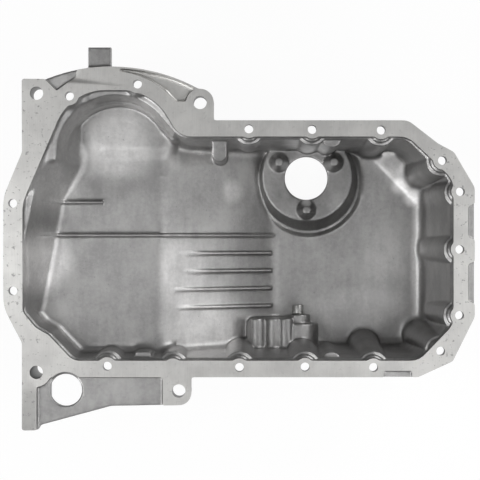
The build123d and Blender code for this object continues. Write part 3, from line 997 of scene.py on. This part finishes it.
@dataclass
class DrainPlug:
    """The drain plug: a hexagon head with a flange, a real thread and a plain tip.

    It is built upright, from its head to its tip, and then laid along the drain's bore.

    Attributes:
        node: the CAD node that it stands for.
        hex_width: the head's width across its flats.
        hex_height: how high the head is.
        hex_sides: how many sides the head has.
        hex_edge: the width of the head's bevels.
        flange_radius: the flange's radius.
        flange_thickness: how thick the flange is.
        flange_edge: the width of the flange's bevels.
        thread_radius: the radius of the thread's crest.
        thread_pitch: the distance from one turn to the next.
        thread_depth: how deep the thread is cut.
        thread_turns: how many turns it has.
        core_edge: the width of the bevels of the core inside the thread.
        tip_radius: the plain tip's radius.
        tip_edge: the width of the tip's chamfer.
        sides: how many sides a round part has.
        edge_steps: how many steps a bevel has.
        crease_angle: the least angle of an edge that is bevelled or stays sharp, in degrees.
    """

    node: str = "drain_plug"
    hex_width: float = 19.0 * MM
    hex_height: float = 8.0 * MM
    hex_sides: int = 6
    hex_edge: float = 0.8 * MM
    flange_radius: float = 11.0 * MM
    flange_thickness: float = 2.0 * MM
    flange_edge: float = 0.4 * MM
    thread_radius: float = 6.98 * MM
    thread_pitch: float = 1.5 * MM
    thread_depth: float = 0.92 * MM
    thread_turns: int = 10
    core_edge: float = 0.2 * MM
    tip_radius: float = 5.6 * MM
    tip_edge: float = 1.0 * MM
    sides: int = 64
    edge_steps: int = 2
    crease_angle: float = 35.0

    @property
    def core_radius(self) -> float:
        """Gives the radius at the root of the thread."""
        return self.thread_radius - self.thread_depth

    def disc(self, radius: float, low: float, high: float, edge: float,
             sides: int | None = None) -> bpy.types.Object:
        """Makes an upright cylinder or prism with bevelled edges.

        Args:
            radius: its radius at its corners.
            low: the height of its lower end.
            high: the height of its upper end.
            edge: the width of its bevels.
            sides: how many sides it has, if it isn't round.

        Returns:
            The cylinder or prism.
        """
        made = rod(Vector((0, 0, low)), Vector((0, 0, high)), radius, sides or self.sides)
        apply_modifier(made, "BEVEL", width=edge, segments=self.edge_steps, limit_method="ANGLE",
                       angle_limit=math.radians(self.crease_angle))
        return made

    def thread(self, low: float) -> bpy.types.Object:
        """Winds the thread from one turn's profile.

        Args:
            low: the height at which it starts.

        Returns:
            The thread.
        """
        bpy.ops.object.select_all(action="DESELECT")
        bpy.ops.mesh.primitive_plane_add(size=1)
        made = bpy.context.object
        with editing(made):
            bpy.ops.mesh.select_mode(type=MeshPart.POINTS.value)
            bpy.ops.mesh.select_all(action="SELECT")
            bpy.ops.mesh.merge(type="CENTER")
            bpy.ops.transform.translate(value=(self.core_radius, 0, low))
            for step in (self.thread_depth, -self.thread_depth):
                bpy.ops.mesh.extrude_region_move(
                    TRANSFORM_OT_translate={"value": (step, 0, self.thread_pitch / 2)})
        apply_modifier(made, "SCREW", screw_offset=self.thread_pitch, iterations=self.thread_turns,
                       steps=self.sides, render_steps=self.sides, use_merge_vertices=True)
        return made

    def build(self) -> bpy.types.Object:
        """Builds the plug and lays it in the drain.

        Returns:
            The finished piece.
        """
        low, high = (Vector(corner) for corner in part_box(self.node))
        seat = self.hex_height + self.flange_thickness
        shank_end = seat + (self.thread_turns + 1) * self.thread_pitch
        piece = joined([
            self.disc(self.hex_width / math.sqrt(3), 0, self.hex_height, self.hex_edge,
                      self.hex_sides),
            self.disc(self.flange_radius, self.hex_height, seat, self.flange_edge),
            self.disc(self.core_radius, seat, shank_end, self.core_edge),
            self.thread(seat),
            self.disc(self.tip_radius, seat, high.y - low.y, self.tip_edge),
        ], "drain_plug_threaded")
        piece.rotation_euler = (math.radians(-90), 0, 0)
        piece.location = ((low.x + high.x) / 2, low.y, (low.z + high.z) / 2)
        bpy.ops.object.transform_apply(location=True, rotation=True, scale=True)
        piece.data.materials.clear()
        piece.data.materials.append(ZINC_PLATE.make())
        bpy.ops.object.shade_smooth_by_angle(angle=math.radians(self.crease_angle))
        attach(piece, "root")
        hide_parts(self.node)
        return piece


# The studio


@dataclass
class Studio:
    """The pale floor, the soft lamps and the camera straight above the pan.

    Attributes:
        camera_height: how far the camera is above the gasket face.
        view_width: how wide the picture is at the gasket face.
        sensor_width: the camera's sensor width, in millimetres.
        far_clip: how far the camera sees.
        floor_depth: how far the floor is below the gasket face.
        floor_size: how wide the floor is.
        floor_colour: the floor's colour.
        white_share: how much of the floor that is seen is plain white.
        air: how bright the air is.
        lamp_distance: how far each lamp is from the pan.
        lamp_size: how wide each lamp is.
        lamps: each lamp's name, its tilt from upright and its turn from +X, in degrees, its power.
    """

    camera_height: float = 1.38
    view_width: float = 0.432
    sensor_width: float = 36.0
    far_clip: float = 20.0
    floor_depth: float = 0.1255
    floor_size: float = 6.0
    floor_colour: Colour = (0.9, 0.9, 0.9)
    white_share: float = 0.94
    air: float = 0.04
    lamp_distance: float = 1.5
    lamp_size: float = 0.6
    lamps: tuple[tuple[str, float, float, float], ...] = (
        ("front_left_low", 60, -135, 12.3),
        ("back_right_low", 60, 45, 9.1),
        ("left_high", 30, 180, 5.0),
        ("front_right_low", 60, -45, 4.4),
        ("front_right_high", 30, -45, 3.5),
        ("right_low", 60, 0, 3.0),
        ("right_high", 30, 0, 1.3),
        ("overhead", 0, 0, 0.8),
    )

    def build_floor(self) -> None:
        """Lays a pale floor that looks almost pure white and still takes the pan's shadow."""
        bpy.ops.object.select_all(action="DESELECT")
        bpy.ops.mesh.primitive_plane_add(size=self.floor_size, location=(0, 0, -self.floor_depth))
        floor = bpy.context.object
        floor.name = "floor"
        material, sheet = new_material("pale_floor")
        paper = sheet.node("ShaderNodeBsdfDiffuse", {}, {"Color": (*self.floor_colour, 1.0)})
        white = sheet.node("ShaderNodeEmission", {}, {"Color": WHITE, "Strength": 1.0})
        rays = sheet.node("ShaderNodeLightPath")
        seen = Shade(sheet, rays.outputs["Is Camera Ray"])
        for kind in ("Is Glossy Ray", "Is Transmission Ray"):
            seen = seen + Shade(sheet, rays.outputs[kind])
        mixed = sheet.node("ShaderNodeMixShader", {}, {
            0: self.white_share * seen.clamped(), 1: paper.outputs["BSDF"],
            2: white.outputs["Emission"]})
        sheet.node("ShaderNodeOutputMaterial", {}, {"Surface": mixed.outputs["Shader"]})
        floor.data.materials.append(material)

    def build_lamps(self) -> None:
        """Hangs the lamps, each turned to the pan's middle."""
        for name, tilt, turn, power in self.lamps:
            place = Vector((0, 0, self.lamp_distance))
            place.rotate(Euler((0, math.radians(tilt), math.radians(turn))))
            data = bpy.data.lights.new(name, "AREA")
            data.size = self.lamp_size
            data.energy = power
            lamp = bpy.data.objects.new(name, data)
            bpy.context.scene.collection.objects.link(lamp)
            lamp.location = place
            lamp.rotation_euler = (-place).to_track_quat("-Z", "Y").to_euler()

    def build_air(self) -> None:
        """Sets the faint light that comes from everywhere."""
        world = bpy.data.worlds.new("studio_air")
        bpy.context.scene.world = world
        world.use_nodes = True
        sheet = NodeSheet(world.node_tree)
        air = sheet.node("ShaderNodeBackground", {}, {"Color": WHITE, "Strength": self.air})
        sheet.node("ShaderNodeOutputWorld", {}, {"Surface": air.outputs["Background"]})

    def build_camera(self) -> None:
        """Puts the camera straight above the middle of the pan, with the lobe at the top."""
        data = bpy.data.cameras.new("camera")
        data.sensor_width = self.sensor_width
        data.lens = self.sensor_width * self.camera_height / self.view_width
        data.clip_end = self.far_clip
        camera = bpy.data.objects.new("camera", data)
        bpy.context.scene.collection.objects.link(camera)
        camera.location = (0, 0, self.camera_height)
        bpy.context.scene.camera = camera

    def build(self) -> None:
        """Builds the studio."""
        self.build_floor()
        self.build_lamps()
        self.build_air()
        self.build_camera()
        bpy.context.scene.view_settings.view_transform = "Standard"


def main() -> None:
    """Builds the pan piece by piece, then the studio, and reports each piece."""
    logging.basicConfig(level=logging.INFO, format="%(name)s: %(message)s")
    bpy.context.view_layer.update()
    mounts = {mount["name"]: mount for mount in frame["record"]["mounts"]}
    for maker in (Casting(mounts), DrainPlug()):
        piece = maker.build()
        log.info("%s has %d faces", piece.name, len(piece.data.polygons))
    ring = frame["nodes"][RING_NODE]
    ring.data.materials.clear()
    ring.data.materials.append(SOFT_COPPER.make())
    log.info("%s keeps its CAD shape", RING_NODE)
    Studio().build()


if __name__ == "__main__":
    main()
